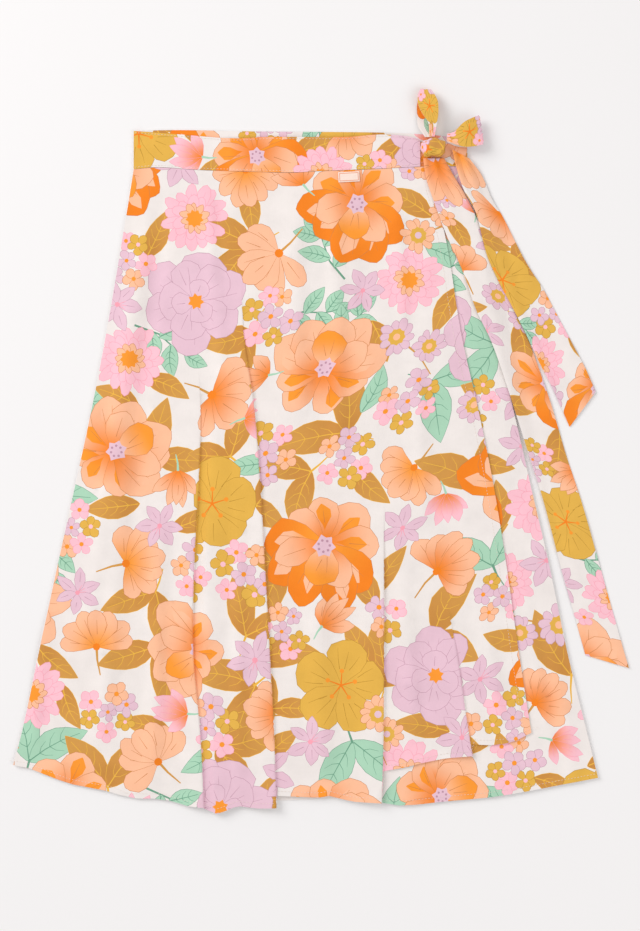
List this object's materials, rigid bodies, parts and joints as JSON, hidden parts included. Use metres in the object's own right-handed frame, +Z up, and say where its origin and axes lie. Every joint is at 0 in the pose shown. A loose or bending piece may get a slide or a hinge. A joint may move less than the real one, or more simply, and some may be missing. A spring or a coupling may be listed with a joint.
{
  "type": "wrap skirt",
  "caption": "Floral midi wrap skirt laid flat, front up, with overlapping front panels, a doubled waistband and a tie knotted in a bow at one side with two long tails.",
  "frame": {"origin": "under the middle of the laid-out skirt and its tie, on the surface it lies on", "axes": "+X to the wearer's left, which is the viewer's right, +Y from the hem towards the waistband, +Z up off the surface through the front"},
  "size_m": [0.6397, 0.752, 0.0151],
  "materials": {
    "printed_cloth": "matte-satin light viscose, printed with large orange, pink, lilac, mustard, ochre and mint flowers on off-white",
    "printed_waistband": "the same printed cloth, doubled and pressed",
    "printed_tie": "the same printed cloth, doubled into a soft tie",
    "woven_label": "cream satin-woven label with a fine border and no lettering"
  },
  "bodies": {
    "root": {"back_panel": "printed_cloth", "under_front_panel": "printed_cloth", "over_front_panel": "printed_cloth", "waistband_back": "printed_waistband", "waistband_under": "printed_waistband", "waistband_front": "printed_waistband", "tie_tail_long": "printed_tie", "tie_tail_short": "printed_tie", "bow_loop_upright": "printed_tie", "bow_loop_side": "printed_tie", "bow_knot": "printed_tie", "label": "woven_label"}
  },
  "joints": []
}
